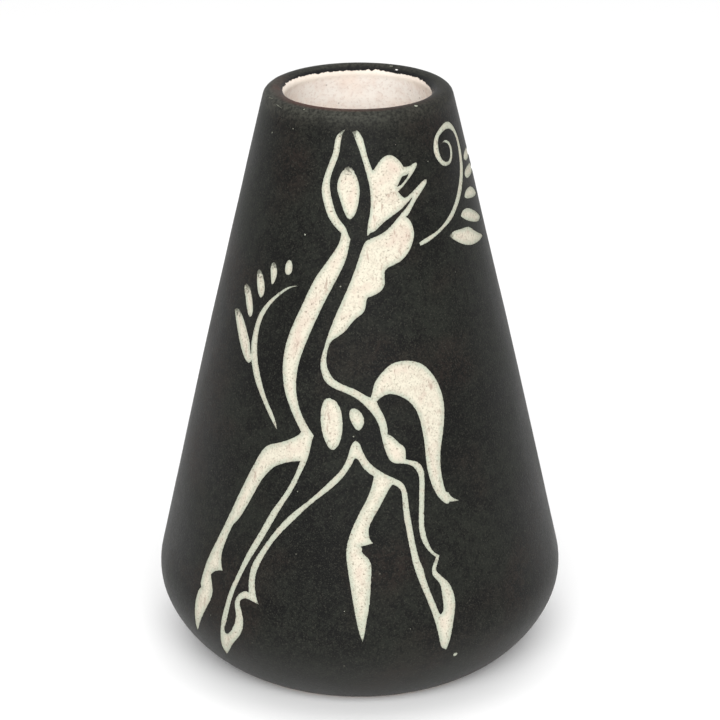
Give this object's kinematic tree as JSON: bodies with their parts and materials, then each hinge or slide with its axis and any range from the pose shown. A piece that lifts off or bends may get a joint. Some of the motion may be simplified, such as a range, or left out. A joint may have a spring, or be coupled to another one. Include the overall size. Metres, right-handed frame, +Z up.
{
  "type": "clay pot",
  "caption": "Squat conical slip-coated clay pot with a rolled rim and rounded base, a leaping horse and leaf sprigs scratched through its dark coat to a pale ground.",
  "frame": {"origin": "centre of the foot, on the surface that the pot stands on", "axes": "+Z up along the pot's axis towards the mouth, -Y towards the side that carries the drawing, +X to the right of the drawing"},
  "size_m": [0.112, 0.112, 0.16],
  "materials": {
    "fired_clay": "matte",
    "interior_slip": "matte",
    "ground_slip": "matte",
    "black_slip": "satin"
  },
  "bodies": {
    "root": {"clay_body": "fired_clay", "interior_slip": "interior_slip", "ground_slip": "ground_slip", "black_slip": "black_slip"}
  },
  "joints": []
}
